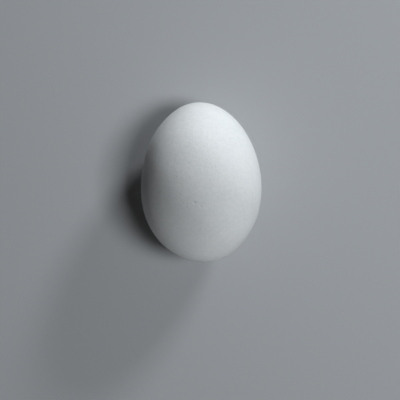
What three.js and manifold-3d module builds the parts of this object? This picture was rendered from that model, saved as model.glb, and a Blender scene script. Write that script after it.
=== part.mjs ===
// A hen's egg in its whole, unbroken white shell, lying on its side.
// Millimetres, +Z up. The origin is the middle of the small flat spot that the egg rests on.
// The pointed end is towards +Y, and +Z is the side that shows.

import * as THREE from 'three';
import { mergeVertices } from 'three/addons/utils/BufferGeometryUtils.js';
import Module from 'manifold-3d';

// Driving dimensions
const eggLength = 57; // from the blunt end to the pointed end
const eggBreadth = 43.15; // across the middle of the length
const narrowing = 0.064; // share by which the pointed end is finer, and the blunt end fuller, than an oval
const flatSpotDepth = 0.18; // how deep the flat spot is cut, which makes it about 6 mm by 8 mm
const facetSteps = 19; // splits along each edge of the icosahedron that the surface starts from

// The shell isn't quite regular: low swells run across it, each a wave through the whole egg.
// Height and length from crest to crest are in millimetres, start is a phase in radians.
const swells = [
  { height: 0.07, length: 23, towards: new THREE.Vector3(0.4, 0.85, 0.45), start: 0.3 },
  { height: 0.055, length: 17.5, towards: new THREE.Vector3(0.6, 0.8, -0.5), start: 1.6 },
  { height: 0.035, length: 26, towards: new THREE.Vector3(-1, -0.3, 0.5), start: 0.9 },
];

const shellMaterial = new THREE.MeshStandardMaterial({
  color: new THREE.Color(0.86, 0.855, 0.84),
  roughness: 0.55,
  metalness: 0,
});

const wasm = await Module();
wasm.setup();

// A station runs along the egg, from -1 at the blunt end through 0 at mid-length to 1 at the pointed end.
function halfBreadth(station) {
  return (eggBreadth / 2) * Math.sqrt(1 - station ** 2) * (1 - narrowing * station);
}

// From a station, the distance along the long axis to where the surface's normal meets that axis.
// It is the half breadth times the half breadth's slope, and is positive towards the pointed end.
function normalReach(station) {
  const fineness = 1 - narrowing * station;
  const fall = station + narrowing - 2 * narrowing * station ** 2;
  return (-(eggBreadth ** 2) / (2 * eggLength)) * fineness * fall;
}

// The centre of gravity of the solid egg, on the long axis, measured from mid-length.
const balancePoint = (-narrowing * eggLength) / (5 + narrowing ** 2);

// The station that an egg on its side rests on: there the surface's normal runs through the balance point.
function restingStation() {
  const halvings = 40;
  let behind = -narrowing; // about the widest part, which is short of the resting station
  let ahead = 0.5; // halfway to the pointed end, which is past it
  for (let count = 0; count < halvings; count += 1) {
    const middle = (behind + ahead) / 2;
    const meeting = (middle * eggLength) / 2 + normalReach(middle);
    if (meeting > balancePoint) {
      ahead = middle;
    } else {
      behind = middle;
    }
  }
  return (behind + ahead) / 2;
}

function swellAt(point) {
  let rise = 0;
  for (const { height, length, towards, start } of swells) {
    const along = point.dot(towards) / towards.length();
    rise += height * Math.sin((2 * Math.PI * along) / length + start);
  }
  return rise;
}

// The point of the shell that belongs to a direction on a unit sphere.
function shellPoint(direction) {
  const halfWidth = (eggBreadth / 2) * (1 - narrowing * direction.y);
  const point = new THREE.Vector3(
    direction.x * halfWidth,
    direction.y * (eggLength / 2),
    direction.z * halfWidth,
  );
  return point.addScaledVector(direction, swellAt(point));
}

// Only positions are kept, and shared corners become one, so that the surface is closed.
function weld(geometry) {
  geometry.deleteAttribute('normal');
  geometry.deleteAttribute('uv');
  return mergeVertices(geometry);
}

function shellGeometry() {
  const geometry = weld(new THREE.IcosahedronGeometry(1, facetSteps));
  const positions = geometry.getAttribute('position');
  const direction = new THREE.Vector3();
  for (let index = 0; index < positions.count; index += 1) {
    direction.fromBufferAttribute(positions, index).normalize();
    const point = shellPoint(direction);
    positions.setXYZ(index, point.x, point.y, point.z);
  }
  return geometry;
}

// A block whose top face is the surface that the egg rests on.
function restingBlock() {
  const geometry = weld(new THREE.BoxGeometry(eggLength, eggLength, eggBreadth));
  geometry.translate(0, 0, -eggBreadth / 2);
  return geometry;
}

function toSolid(geometry) {
  const vertProperties = new Float32Array(geometry.getAttribute('position').array);
  const triVerts = new Uint32Array(geometry.getIndex().array);
  return new wasm.Manifold(new wasm.Mesh({ numProp: 3, vertProperties, triVerts }));
}

function toGeometry(solid) {
  const { vertProperties, triVerts } = solid.getMesh();
  const geometry = new THREE.BufferGeometry();
  geometry.setAttribute('position', new THREE.BufferAttribute(vertProperties, 3));
  geometry.setIndex(new THREE.BufferAttribute(triVerts, 1));
  geometry.computeVertexNormals();
  return geometry;
}

// Lays the egg down: the pointed end dips until the resting station is level and lowest.
// The balance point is straight above the origin, and the flat spot's depth reaches below it.
function layDown(egg) {
  const station = restingStation();
  egg.rotation.x = Math.atan(normalReach(station) / halfBreadth(station));
  egg.position.y = -balancePoint * Math.cos(egg.rotation.x);
  const lowest = new THREE.Box3().setFromObject(egg, true).min.z;
  egg.position.z = -lowest - flatSpotDepth;
  egg.updateMatrixWorld();
}

function makeEgg() {
  const egg = new THREE.Mesh(shellGeometry(), shellMaterial);
  egg.name = 'egg';
  layDown(egg);
  const block = restingBlock().applyMatrix4(egg.matrixWorld.clone().invert());
  egg.geometry = toGeometry(toSolid(egg.geometry).subtract(toSolid(block)));
  return egg;
}

const model = new THREE.Group();
model.add(makeEgg());

export default model;
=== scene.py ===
import math
import random

import bmesh
import bpy
from mathutils import Matrix, Vector, noise


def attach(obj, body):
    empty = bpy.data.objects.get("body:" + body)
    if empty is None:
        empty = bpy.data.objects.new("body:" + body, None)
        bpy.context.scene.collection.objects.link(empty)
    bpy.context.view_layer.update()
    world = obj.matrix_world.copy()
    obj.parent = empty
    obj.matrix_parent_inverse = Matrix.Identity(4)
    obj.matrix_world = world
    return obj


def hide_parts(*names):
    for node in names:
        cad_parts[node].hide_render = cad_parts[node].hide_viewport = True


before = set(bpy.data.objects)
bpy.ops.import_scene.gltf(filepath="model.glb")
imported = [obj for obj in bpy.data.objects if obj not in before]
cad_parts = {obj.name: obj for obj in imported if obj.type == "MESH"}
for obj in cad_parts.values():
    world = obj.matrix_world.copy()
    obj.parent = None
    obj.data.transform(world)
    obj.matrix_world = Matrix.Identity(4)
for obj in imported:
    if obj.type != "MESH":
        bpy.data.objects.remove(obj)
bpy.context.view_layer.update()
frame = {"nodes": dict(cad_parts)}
print("frame loaded:", ", ".join(frame["nodes"]))

millimetre = 0.001
micron = 0.000001

# The shell's form. In its own space the long axis is Y, the pointed end +Y and the shown side +Z.
egg = {
    "length": 57 * millimetre,
    "breadth": 43.15 * millimetre,
    "narrowing": 0.064,  # share by which the pointed end is finer, and the blunt end fuller, than an oval
    "flatSpotDepth": 0.18 * millimetre,
    "facesPerSide": 124,  # of the cube that is blown up into the egg
    "fineCuts": 4,  # cuts of each edge round the marks
    "fineReach": 0.65,  # how far round a mark, as a share of its length
    "halvings": 40,  # steps of the search for the resting station
    "swells": (  # height, length from crest to crest, direction and phase
        (0.07 * millimetre, 23 * millimetre, Vector((0.4, 0.85, 0.45)).normalized(), 0.3),
        (0.055 * millimetre, 17.5 * millimetre, Vector((0.6, 0.8, -0.5)).normalized(), 1.6),
        (0.035 * millimetre, 26 * millimetre, Vector((-1, -0.3, 0.5)).normalized(), 0.9),
    ),
}


def eggPoint(direction):
    # the point of the shell that belongs to a direction on a unit sphere
    halfWidth = egg["breadth"] / 2 * (1 - egg["narrowing"] * direction.y)
    point = Vector((direction.x * halfWidth, direction.y * egg["length"] / 2, direction.z * halfWidth))
    rise = 0
    for height, length, towards, start in egg["swells"]:
        rise += height * math.sin(2 * math.pi * point.dot(towards) / length + start)
    return point + direction * rise


def halfBreadth(station):
    # station runs from -1 at the blunt end to 1 at the pointed end
    return egg["breadth"] / 2 * math.sqrt(1 - station**2) * (1 - egg["narrowing"] * station)


def normalReach(station):
    # how far ahead of the station the surface's normal meets the long axis
    fall = station + egg["narrowing"] - 2 * egg["narrowing"] * station**2
    return -egg["breadth"] ** 2 / (2 * egg["length"]) * (1 - egg["narrowing"] * station) * fall


def restingPose(lowestOf):
    # the lean and place in which an egg on its side balances, with the lowest point under the floor
    # by the flat spot's depth; lowestOf gives the lowest point for a lean
    balance = -egg["narrowing"] * egg["length"] / (5 + egg["narrowing"] ** 2)  # from mid-length
    behind, ahead = -egg["narrowing"], 0.5  # stations short of the resting one and past it
    for halving in range(egg["halvings"]):
        middle = (behind + ahead) / 2
        if middle * egg["length"] / 2 + normalReach(middle) > balance:
            ahead = middle
        else:
            behind = middle
    lean = Matrix.Rotation(math.atan(normalReach(ahead) / halfBreadth(ahead)), 4, "X")
    place = Vector((0, -balance * lean[1][1], -lowestOf(lean) - egg["flatSpotDepth"]))
    return Matrix.Translation(place) @ lean


# Relief of the shell, on top of its form
relief = {
    "seed": 11,
    "peelSpacing": 3.1 * millimetre,  # the soft unevenness that a fingertip feels
    "peelHeight": 18 * micron,
    "grainSpacing": 0.95 * millimetre,
    "grainHeight": 15 * micron,
    "grainLayers": 2,
    "grainFiner": 2.1,  # each layer against the one before
    "pitSpacing": 1.25 * millimetre,  # shallow pits round the pores
    "pitRadius": 0.42 * millimetre,
    "pitDepth": 30 * micron,
    "pitDraw": 7.3,  # spreads the draw of each pit's strength
    "faintestPit": 0.1,  # as a share of the depth
    "streakWidth": 1.5 * millimetre,  # faint ridges that run from end to end
    "streakStretch": 9,  # length against width
    "streakSlice": 4.2,  # where the noise is cut
    "streakHeight": 8 * micron,
    "limeGrains": 70,  # raised grains of lime, most of them near the ends
    "limeShareMidway": 0.25,  # at mid-length, against 1 at the ends
    "limeRadius": (0.28 * millimetre, 0.5 * millimetre),
    "limeRise": (14 * micron, 34 * micron),
}

# Small marks on the shown side, in millimetres: where each is across and along from the egg's middle,
# its length and width, its depth and its turn
dents = (
    {"at": (-4.15, 5.9), "size": (0.5, 0.5), "depth": 0.04, "turn": 0.0},
    {"at": (-8.35, 1.65), "size": (0.5, 0.5), "depth": 0.05, "turn": 0.0},
    {"at": (-7.15, -4.5), "size": (0.7, 0.5), "depth": 0.05, "turn": 0.7},
    {"at": (1.4, 11.6), "size": (0.5, 0.5), "depth": 0.04, "turn": 0.0},
    {"at": (-4.95, -8.95), "size": (0.6, 0.5), "depth": 0.04, "turn": 0.0},
    {"at": (14.6, -11.3), "size": (1.1, 0.6), "depth": 0.08, "turn": 0.93},
)

# Nicks drop steeply at the left end, over a share of their length, and rise slowly to the right
nicks = (
    {"at": (-2.15, -7.25), "size": (1.9, 0.85), "depth": 0.1, "turn": 0.15, "steepShare": 0.34},
    {"at": (-0.25, -8.6), "size": (1.3, 1.1), "depth": 0.045, "turn": 0.3, "steepShare": 0.25},
)
nickEdge = {"raggedness": 0.25, "raggedScale": 1.5, "steepness": 4}  # of their outline

# Specks, in millimetres: where each is, its radius, and how much of the shell's colour it hides. The dark
# specks are painted shade in the hollows of the nicks and dents.
pitShadeSpecks = (
    {"at": (-2.5, -7.4), "radius": 0.22, "cover": 0.5},  # these four are in the first nick
    {"at": (-2.05, -7.25), "radius": 0.2, "cover": 0.4},
    {"at": (-1.6, -7.1), "radius": 0.13, "cover": 0.35},
    {"at": (-2.7, -6.85), "radius": 0.12, "cover": 0.35},
    {"at": (-0.1, -8.55), "radius": 0.35, "cover": 0.12},  # and this one in the second
    {"at": (-4.15, 5.9), "radius": 0.157, "cover": 0.55},
    {"at": (-8.35, 1.65), "radius": 0.175, "cover": 0.55},
    {"at": (-7.15, -4.5), "radius": 0.19, "cover": 0.6},
    {"at": (1.4, 11.6), "radius": 0.145, "cover": 0.55},
    {"at": (-4.95, -8.95), "radius": 0.165, "cover": 0.55},
    {"at": (14.6, -11.3), "radius": 0.2, "cover": 0.6},
)
limeFlecks = (
    {"at": (1.25, -9.35), "radius": 0.65, "cover": 0.6},
)


def shownPoint(at):
    # the point of the shown side that is so far across and along
    across, along = (part * millimetre for part in at)
    station = along / (egg["length"] / 2)
    halfWidth = egg["breadth"] / 2 * (1 - egg["narrowing"] * station)
    return Vector((across, along, math.sqrt(halfWidth**2 * (1 - station**2) - across**2)))


def scatterLime():
    # where the raised grains of lime sit, as directions, with their radius and height
    draw = random.Random(relief["seed"])
    midway = relief["limeShareMidway"]
    grains = []
    while len(grains) < relief["limeGrains"]:
        direction = Vector((draw.gauss(0, 1), draw.gauss(0, 1), draw.gauss(0, 1))).normalized()
        if draw.random() < midway + (1 - midway) * abs(direction.y):
            radius = draw.uniform(*relief["limeRadius"])
            grains.append((direction, radius, draw.uniform(*relief["limeRise"])))
    return grains


def pitRise(point):
    # shallow round pits, one to a cell, some of them hardly there
    distances, centres = noise.voronoi(point / relief["pitSpacing"])
    nearness = 1 - (distances[0] * relief["pitSpacing"] / relief["pitRadius"]) ** 2
    if nearness <= 0:
        return 0
    strength = noise.cell(centres[0] * relief["pitDraw"])
    return -relief["pitDepth"] * nearness**2 * max(strength, relief["faintestPit"])


def limeRise(direction, grains):
    # the grains are low round domes that fade out
    rise = 0
    for middle, radius, height in grains:
        gap = (direction - middle).length * egg["breadth"] / 2
        if gap < 2 * radius:
            rise += height * math.exp(-((gap / radius) ** 2) * 2)
    return rise


def shellRise(point, direction):
    width = relief["streakWidth"]
    around = math.atan2(direction.x, direction.z) * egg["breadth"] / 2
    lengthwise = point.y / (relief["streakStretch"] * width)
    streaks = noise.noise(Vector((around / width, lengthwise, relief["streakSlice"])))
    grain = noise.fractal(point / relief["grainSpacing"], 1.0, relief["grainFiner"], relief["grainLayers"])
    rise = relief["peelHeight"] * noise.noise(point / relief["peelSpacing"])
    rise += relief["grainHeight"] * grain
    rise += relief["streakHeight"] * streaks * (1 - direction.y**2)
    return rise + pitRise(point)


def markCoordinates(mark, point):
    # how far a point is along and across a mark, from -1 to 1 over its length and width
    dx, dy = (point[axis] - mark["at"][axis] * millimetre for axis in (0, 1))
    sine, cosine = math.sin(mark["turn"]), math.cos(mark["turn"])
    length, width = (part * millimetre for part in mark["size"])
    return (dx * cosine + dy * sine) / (length / 2), (dy * cosine - dx * sine) / (width / 2)


def dentDepth(dent, point):
    # an oval hollow that fades out
    lengthwise, crosswise = markCoordinates(dent, point)
    return dent["depth"] * math.exp(-(lengthwise**2) - crosswise**2)


def nickDepth(nick, point):
    lengthwise, crosswise = markCoordinates(nick, point)
    scale = nickEdge["raggedScale"]
    ragged = noise.noise(Vector((lengthwise * scale, crosswise * scale, nick["at"][1])))
    inside = 1 - math.hypot(lengthwise, crosswise) + nickEdge["raggedness"] * ragged
    if inside <= 0:
        return 0
    drop = min((1 + lengthwise) / nick["steepShare"], (1 - lengthwise) / (1 - nick["steepShare"])) / 2
    return nick["depth"] * max(drop, 0) * min(inside * nickEdge["steepness"], 1)


def pressMarks(vertices):
    for vertex in vertices:
        if vertex.co.z > 0:
            depth = sum(dentDepth(dent, vertex.co) for dent in dents)
            depth += sum(nickDepth(nick, vertex.co) for nick in nicks)
            vertex.co.z -= depth * millimetre


def addFineFaces(mesh):
    # smaller faces round the marks; the mesh is still a cube here
    places = []
    for mark in nicks + dents:
        places.append((shownPoint(mark["at"]), mark["size"][0] * egg["fineReach"] * millimetre))
    edges = set()
    for vertex in mesh.verts:
        point = eggPoint(cubeDirection(vertex.co))
        if any((point - place).length < reach for place, reach in places):
            edges.update(vertex.link_edges)
    bmesh.ops.subdivide_edges(mesh, edges=list(edges), cuts=egg["fineCuts"], use_grid_fill=True)


def cubeDirection(corner):
    # from a point on the cube to a direction, so that the faces come out of like size all over
    return Vector([math.tan(part * math.pi / 4) for part in corner]).normalized()


def makeShell():
    mesh = bmesh.new()
    bmesh.ops.create_cube(mesh, size=2)
    bmesh.ops.subdivide_edges(mesh, edges=mesh.edges[:], cuts=egg["facesPerSide"] - 1, use_grid_fill=True)
    addFineFaces(mesh)
    grains = scatterLime()
    for vertex in mesh.verts:
        direction = cubeDirection(vertex.co)
        point = eggPoint(direction)
        rise = shellRise(point, direction) + limeRise(direction, grains)
        vertex.co = point + direction * rise
    pressMarks(mesh.verts)
    pose = restingPose(lambda lean: min((lean @ vertex.co).z for vertex in mesh.verts))
    mesh.transform(pose)
    for vertex in mesh.verts:
        vertex.co.z = max(vertex.co.z, 0)
    for face in mesh.faces:
        face.smooth = True
    shellMesh = bpy.data.meshes.new("eggShell")
    mesh.to_mesh(shellMesh)
    mesh.free()
    piece = bpy.data.objects.new("eggShell", shellMesh)
    bpy.context.scene.collection.objects.link(piece)
    return piece, pose


shellPiece, pose = makeShell()
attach(shellPiece, "root")
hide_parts("egg")
print("shell made:", len(shellPiece.data.polygons), "faces")


class Wire:
    # one node socket; arithmetic on it adds Math nodes, and make() adds any other node
    def __init__(self, tree, socket=None):
        self.tree, self.socket = tree, socket

    def make(self, kind, settings=None, inputs=None, output=0):
        node = self.tree.nodes.new("ShaderNode" + kind)
        for name, value in (settings or {}).items():
            setattr(node, name, value)
        for name, value in (inputs or {}).items():
            if isinstance(value, Wire):
                self.tree.links.new(value.socket, node.inputs[name])
            else:
                node.inputs[name].default_value = value
        return Wire(self.tree, node.outputs[output])

    def mixed(self, factor, first, second):
        # the first colour, turned into the second by the factor; 6, 7 and 2 are the colour sockets
        return self.make("Mix", {"data_type": "RGBA"}, {"Factor": factor, 6: first, 7: second}, 2)

    def mapped(self, fromRange, toRange, curve="LINEAR"):
        # this value, carried from one range to the other and held inside it
        return self.make("MapRange", {"clamp": True, "interpolation_type": curve},
                         {"Value": self, "From Min": fromRange[0], "From Max": fromRange[1],
                          "To Min": toRange[0], "To Max": toRange[1]})

    def maths(self, operation, first, second):
        return self.make("Math", {"operation": operation}, {0: first, 1: second})

    def __add__(self, other):
        return self.maths("ADD", self, other)

    def __sub__(self, other):
        return self.maths("SUBTRACT", self, other)

    def __rsub__(self, other):
        return self.maths("SUBTRACT", other, self)

    def __mul__(self, other):
        return self.maths("MULTIPLY", self, other)

    __radd__, __rmul__ = __add__, __mul__


def newMaterial(name):
    material = bpy.data.materials.new(name)
    material.use_nodes = True
    return material, material.node_tree.nodes["Principled BSDF"]


# The shell's finish. Scales are per metre.
shellFinish = {
    "chalk": (0.88, 0.875, 0.861, 1),
    "bloom": (0.815, 0.82, 0.815, 1),  # where the chalk is thinner and slightly greyer
    "bloomNoise": {"Scale": 130, "Detail": 4},
    "bloomShare": 0.6,
    "mottleNoise": {"Scale": 780, "Detail": 2},
    "mottleShare": 0.9,
    "thinRange": (0.5, 1.0),  # of the two together, from all chalk to all bloom
    # the dark tone painted into the nicks and dents as their shade
    "pitShade": (0.30, 0.28, 0.25, 1),
    "lime": (0.94, 0.94, 0.93, 1),
    "speckNoise": {"Scale": 5000, "Detail": 2},  # of a speck's edge
    "speckUnevenness": 0.2 * millimetre,
    "speckCore": 0.5,  # share of the radius where a speck is whole
    "pore": (0.60, 0.58, 0.54, 1),
    "poreScale": 900,
    "poreRadius": 0.16,  # as a share of the spacing
    "poreDarkness": (0.35, 0.6),  # at the pointed end and at the blunt end
    "poreDepth": 0.8,  # as a share of the bump's height
    "grainNoise": {"Scale": 2100, "Detail": 3},
    "bumpHeight": 60 * micron,
    "roughness": (0.55, 0.67),
    "roughnessRange": (0.3, 0.7),  # of the bloom's noise
    "specular": 0.2,
    "glow": 0.1,  # share of the light that spreads under the surface
    "glowReach": (1.2, 1.0, 0.8),  # in millimetres, for red, green and blue
}


def eggshellMaterial():
    finish = shellFinish
    material, shader = newMaterial("whiteEggshell")
    wire = Wire(material.node_tree)
    place = wire.make("TexCoord", output="Object")
    bloom = wire.make("TexNoise", inputs={"Vector": place, **finish["bloomNoise"]})
    mottle = wire.make("TexNoise", inputs={"Vector": place, **finish["mottleNoise"]})
    grain = wire.make("TexNoise", inputs={"Vector": place, **finish["grainNoise"]})
    cells = {"Vector": place, "Scale": finish["poreScale"]}
    pores = wire.make("TexVoronoi", inputs=cells, output="Distance")
    # chalk and bloom: broad soft clouds, with a fine mottle over them
    clouds = bloom * finish["bloomShare"] + mottle * finish["mottleShare"]
    ground = wire.mixed(clouds.mapped(finish["thinRange"], (0, 1)), finish["chalk"], finish["bloom"])
    # pores: dark pinpricks, plainer towards the blunt end
    dots = pores.mapped((0, finish["poreRadius"]), (1, 0), "SMOOTHSTEP")
    along = wire.make("SeparateXYZ", inputs={"Vector": place}, output="Y")
    darkness = along.mapped((egg["length"] / 2, -egg["length"] / 2), finish["poreDarkness"])
    colour = wire.mixed(dots * darkness, ground, finish["pore"])
    # flecks of lime, and dark specks of painted shade in the nicks and dents, with uneven edges
    edge = wire.make("TexNoise", inputs={"Vector": place, **finish["speckNoise"]})
    uneven = (edge - 0.5) * finish["speckUnevenness"]
    for specks, tone in ((limeFlecks, finish["lime"]), (pitShadeSpecks, finish["pitShade"])):
        cover = 0
        for speck in specks:
            middle = pose @ shownPoint(speck["at"])
            gap = wire.make("VectorMath", {"operation": "DISTANCE"}, {0: place, 1: middle}, "Value")
            radius = speck["radius"] * millimetre
            fade = (radius * finish["speckCore"], radius)
            cover += (gap + uneven).mapped(fade, (speck["cover"], 0), "SMOOTHSTEP")
        colour = wire.mixed(cover, colour, tone)
    gloss = bloom.mapped(finish["roughnessRange"], finish["roughness"])
    bump = wire.make("Bump", inputs={"Height": grain - dots * finish["poreDepth"],
                                     "Strength": 1, "Distance": finish["bumpHeight"]})
    wire.tree.links.new(colour.socket, shader.inputs["Base Color"])
    wire.tree.links.new(gloss.socket, shader.inputs["Roughness"])
    wire.tree.links.new(bump.socket, shader.inputs["Normal"])
    shader.inputs["Specular IOR Level"].default_value = finish["specular"]
    shader.inputs["Subsurface Weight"].default_value = finish["glow"]
    shader.inputs["Subsurface Radius"].default_value = finish["glowReach"]
    shader.inputs["Subsurface Scale"].default_value = millimetre
    return material


shellPiece.data.materials.append(eggshellMaterial())
print("shell finished")


# Floor, light and camera
floor = {"side": 6.0, "colour": (0.61, 0.615, 0.625, 1), "roughness": 0.8}


def makeFloor():
    mesh = bmesh.new()
    bmesh.ops.create_grid(mesh, x_segments=1, y_segments=1, size=floor["side"] / 2)
    floorMesh = bpy.data.meshes.new("paleFloor")
    mesh.to_mesh(floorMesh)
    mesh.free()
    material, shader = newMaterial("paleFloor")
    shader.inputs["Base Color"].default_value = floor["colour"]
    shader.inputs["Roughness"].default_value = floor["roughness"]
    floorMesh.materials.append(material)
    piece = bpy.data.objects.new("paleFloor", floorMesh)
    bpy.context.scene.collection.objects.link(piece)


makeFloor()


# Soft lights, all of one cool white, in metres, watts and degrees. Turns are from +X towards +Y, and rises
# from the floor. The boxes face the egg. The panels lie on the floor and shine up past it.
lighting = {
    "colour": (0.902, 0.956, 1),
    "aim": Vector((0, 0, 0.0215)),
    "boxDistance": 0.8,
    "boxes": {  # turn, rise, width, height and watts
        "overheadBox": (-3, 66.5, 0.2, 0.3, 2.53),
        "sideBox": (53, 24.5, 0.16, 0.12, 1.98),
    },
    "panels": {  # turn, distance, depth, width and watts
        "nearPanel": (84, 0.28, 0.12, 0.1, 0.88),
        "farPanel": (75.5, 0.74, 0.15, 0.12, 44.9),
        "bluntEndPanel": (268.5, 0.48, 0.1, 0.1, 4.86),
        "sidePanel": (336, 0.54, 0.1, 0.1, 4.76),
    },
    "roomColour": (1, 0.85, 0.72, 1),  # a dim warm room
    "roomStrength": 0.012,
}


def addLight(name, place, turned, width, height, watts):
    light = bpy.data.lights.new(name, "AREA")
    light.shape = "RECTANGLE"
    light.size, light.size_y = width, height
    light.energy, light.color = watts, lighting["colour"]
    lamp = bpy.data.objects.new(name, light)
    lamp.location, lamp.rotation_euler = place, turned
    lamp.visible_camera = False
    bpy.context.scene.collection.objects.link(lamp)


def addSoftboxes():
    for name, (turn, rise, width, height, watts) in lighting["boxes"].items():
        away = Matrix.Rotation(math.radians(turn), 3, "Z") @ Matrix.Rotation(-math.radians(rise), 3, "Y")
        towards = away @ Vector((1, 0, 0))
        turned = (-towards).to_track_quat("-Z", "Y").to_euler()
        addLight(name, lighting["aim"] + towards * lighting["boxDistance"], turned, width, height, watts)


def addPanels():
    for name, (turn, distance, depth, width, watts) in lighting["panels"].items():
        angle = math.radians(turn)
        place = (distance * math.cos(angle), distance * math.sin(angle), millimetre)
        addLight(name, place, (math.pi, 0, angle), depth, width, watts)


# A black card stands left of the egg and keeps part of the floor's light off its dark side. It doesn't
# show in any view, and the lights shine through it.
darkCard = {"place": -0.08, "height": 0.08, "width": 0.4, "colour": (0.01, 0.01, 0.01, 1)}


def makeDarkCard():
    side = darkCard["width"] / 2
    top = darkCard["height"]
    corners = [(darkCard["place"], along, height)
               for along, height in ((-side, 0), (side, 0), (side, top), (-side, top))]
    cardMesh = bpy.data.meshes.new("darkCard")
    cardMesh.from_pydata(corners, [], [(0, 1, 2, 3)])
    material, shader = newMaterial("blackCard")
    shader.inputs["Base Color"].default_value = darkCard["colour"]
    shader.inputs["Specular IOR Level"].default_value = 0
    cardMesh.materials.append(material)
    piece = bpy.data.objects.new("darkCard", cardMesh)
    piece.visible_camera = piece.visible_shadow = False
    bpy.context.scene.collection.objects.link(piece)


def makeRoom():
    world = bpy.data.worlds.new("room")
    world.use_nodes = True
    background = world.node_tree.nodes["Background"]
    background.inputs["Color"].default_value = lighting["roomColour"]
    background.inputs["Strength"].default_value = lighting["roomStrength"]
    bpy.context.scene.world = world


addSoftboxes()
addPanels()
makeDarkCard()
makeRoom()
print("lights placed")

# The photo's own viewpoint: level there, so here it looks down on the lying egg, square to its long axis
camera = {
    "distance": 360 * millimetre,
    "leftOfMiddle": 0.34 * millimetre,
    "belowMiddle": 6.44 * millimetre,
    "roll": math.radians(1.656),
    "lens": 90.3,  # this and the sensor's width are in millimetres
    "sensor": 36,
    "clip": (0.01, 20),
}


def makeCamera():
    data = bpy.data.cameras.new("photoCamera")
    data.lens, data.sensor_width = camera["lens"], camera["sensor"]
    data.clip_start, data.clip_end = camera["clip"]
    eye = bpy.data.objects.new("photoCamera", data)
    turned = Matrix.Rotation(-camera["roll"], 4, "Z")
    stand = Matrix.Translation((-camera["leftOfMiddle"], -camera["belowMiddle"], camera["distance"]))
    eye.matrix_world = pose @ turned @ stand
    bpy.context.scene.collection.objects.link(eye)
    bpy.context.scene.camera = eye


makeCamera()
bpy.context.scene.view_settings.view_transform = "Standard"
bpy.context.view_layer.update()
